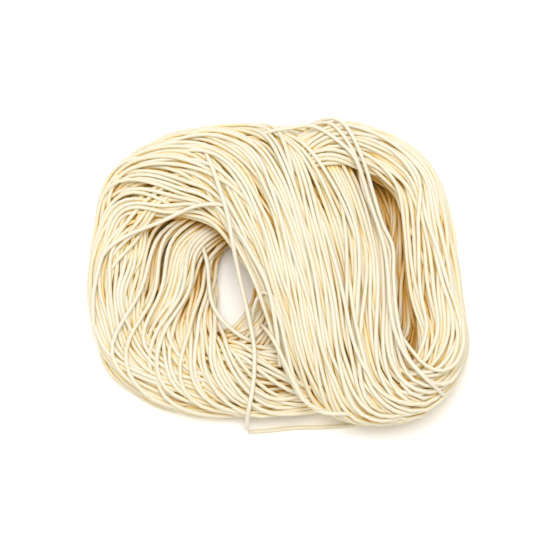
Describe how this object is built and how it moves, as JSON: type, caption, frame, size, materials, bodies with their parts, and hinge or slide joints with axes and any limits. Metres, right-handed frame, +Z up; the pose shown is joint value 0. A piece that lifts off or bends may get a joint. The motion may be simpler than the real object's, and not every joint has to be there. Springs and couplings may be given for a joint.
{
  "type": "bundle of dried wheat vermicelli",
  "caption": "Flat skein of long thin dried wheat noodles, laid in overlapping oval loops with a drop-shaped hole on the left and a slit on the right.",
  "frame": {"origin": "middle of the bundle's box, on the flat underside that it rests on", "axes": "+Z up out of the lying bundle, +X along its longest side towards the slit, +Y away from the viewer of the picture"},
  "size_m": [0.1138, 0.1002, 0.0228],
  "materials": {
    "dry_dough": "matt, slightly satin dried wheat dough"
  },
  "bodies": {
    "root": {"vermicelli_bundle": "dry_dough"}
  },
  "joints": []
}
